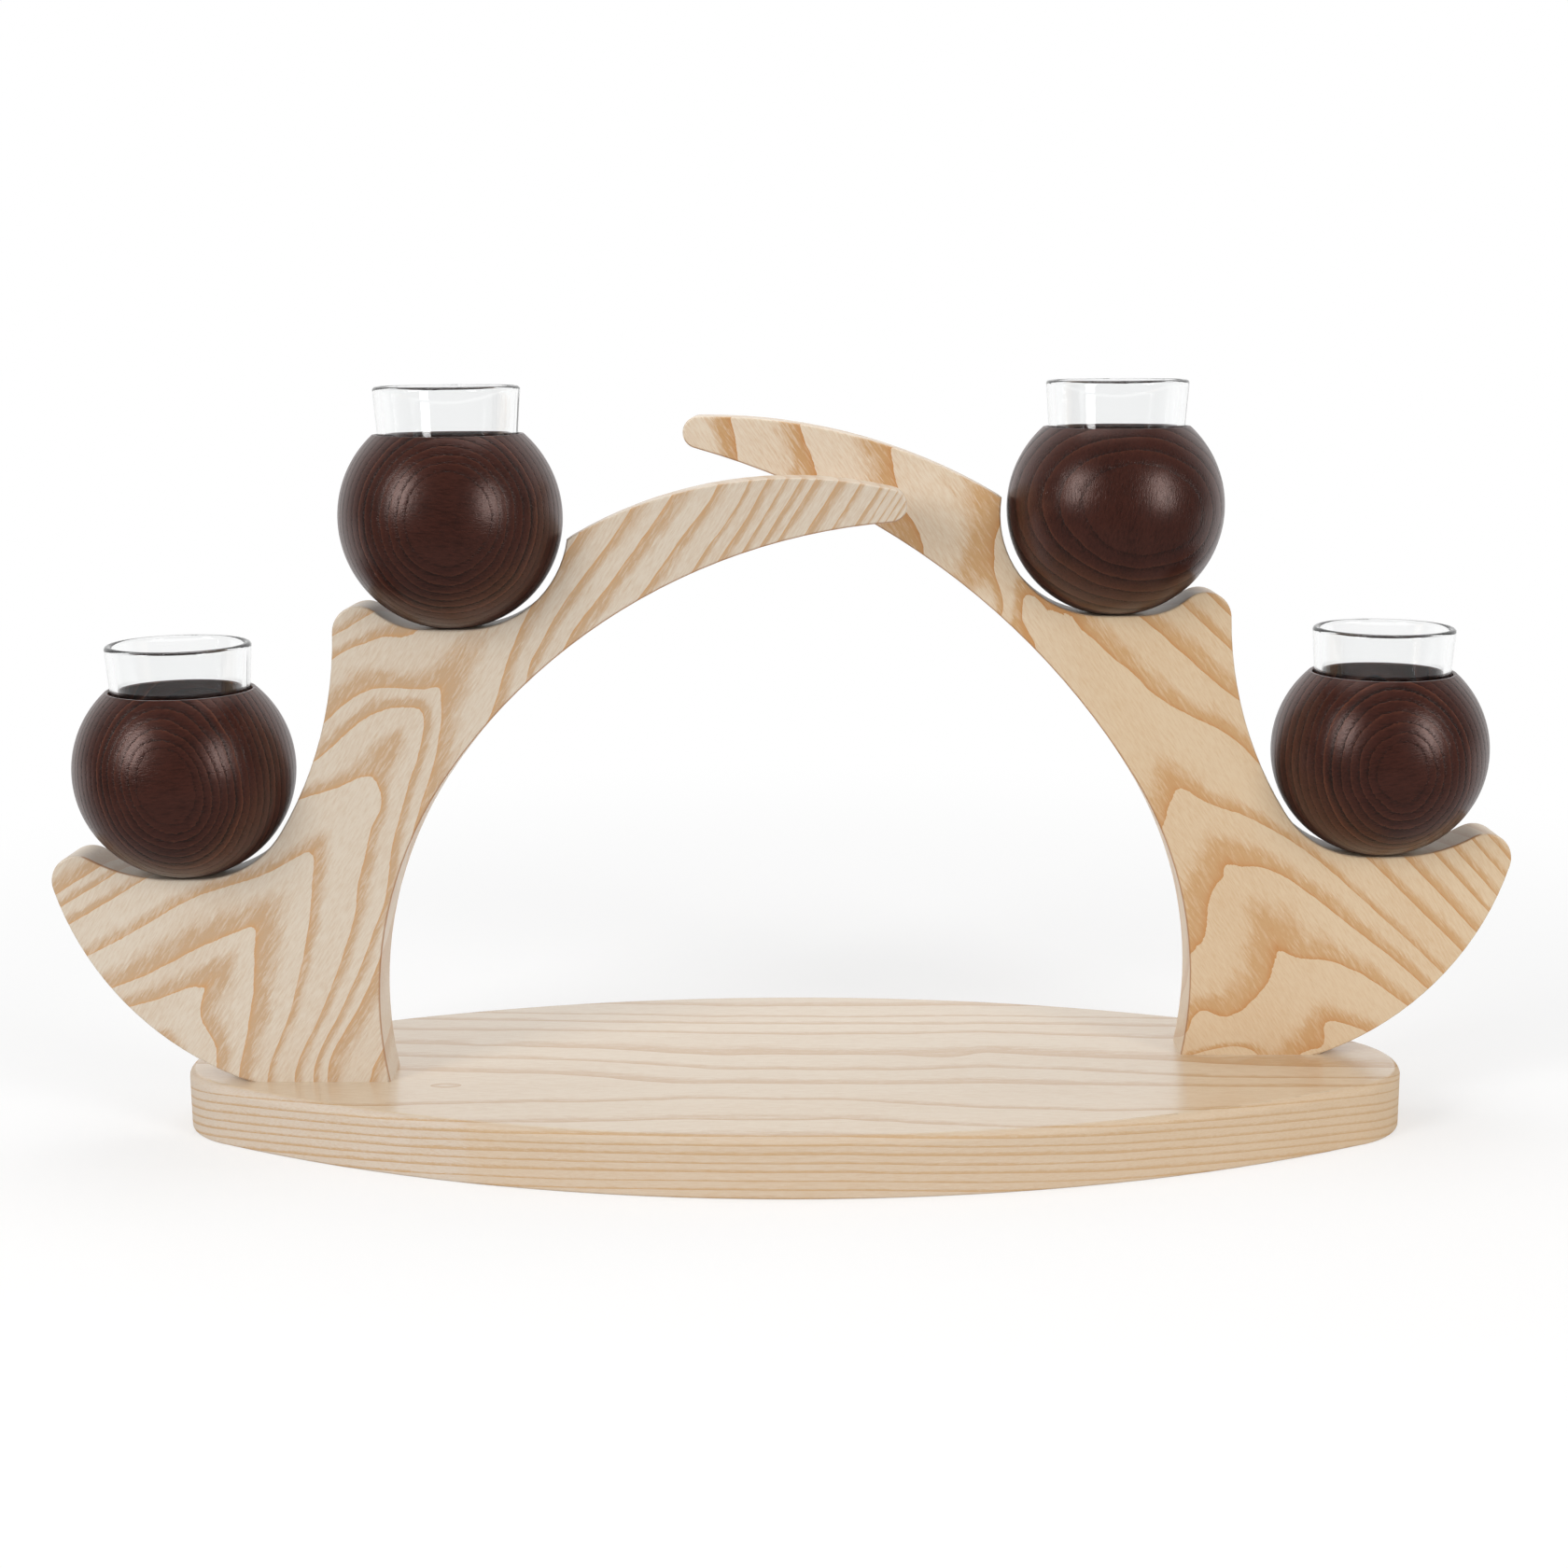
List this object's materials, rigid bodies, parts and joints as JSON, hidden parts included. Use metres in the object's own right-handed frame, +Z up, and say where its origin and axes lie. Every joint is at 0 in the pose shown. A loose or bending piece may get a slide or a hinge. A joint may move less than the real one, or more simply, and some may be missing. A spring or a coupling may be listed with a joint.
{
  "type": "advent candle holder",
  "caption": "Crossed wooden arches on a lens-shaped board, carrying turned balls with loose glass cups for tea lights.",
  "frame": {"origin": "middle of the board's underside, on the table", "axes": "+X along the board to the right, +Y to the back, +Z up; the front upright stands at the left and reaches over to the right"},
  "size_m": [0.5384, 0.171, 0.2759],
  "materials": {
    "ash_board": "ash wood with a clear satin oil",
    "ash_pale": "pale ash wood with a clear satin oil",
    "ash_warm": "warm ash wood with a clear satin oil",
    "stained_wood": "dark red-brown stain, satin",
    "clear_glass": "clear, polished",
    "dowel_wood": "plain beech",
    "zinc_steel": "zinc plated"
  },
  "bodies": {
    "stand": {"base_board": "ash_board", "front_upright": "ash_pale", "rear_upright": "ash_warm", "ball_lower_left": "stained_wood", "ball_upper_left": "stained_wood", "ball_upper_right": "stained_wood", "ball_lower_right": "stained_wood", "dowel_lower_left": "dowel_wood", "dowel_upper_left": "dowel_wood", "dowel_upper_right": "dowel_wood", "dowel_lower_right": "dowel_wood", "screw_left_outer": "zinc_steel", "screw_left_inner": "zinc_steel", "screw_right_inner": "zinc_steel", "screw_right_outer": "zinc_steel"},
    "cup_lower_left": {"glass_lower_left": "clear_glass"},
    "cup_upper_left": {"glass_upper_left": "clear_glass"},
    "cup_upper_right": {"glass_upper_right": "clear_glass"},
    "cup_lower_right": {"glass_lower_right": "clear_glass"}
  },
  "joints": [
    {"name": "lift_lower_left", "type": "slide", "parent": "stand", "child": "cup_lower_left", "axis": [0, 0, 1], "range_m": [0, 0.06]},
    {"name": "lift_upper_left", "type": "slide", "parent": "stand", "child": "cup_upper_left", "axis": [0, 0, 1], "range_m": [0, 0.06]},
    {"name": "lift_upper_right", "type": "slide", "parent": "stand", "child": "cup_upper_right", "axis": [0, 0, 1], "range_m": [0, 0.06]},
    {"name": "lift_lower_right", "type": "slide", "parent": "stand", "child": "cup_lower_right", "axis": [0, 0, 1], "range_m": [0, 0.06]}
  ]
}
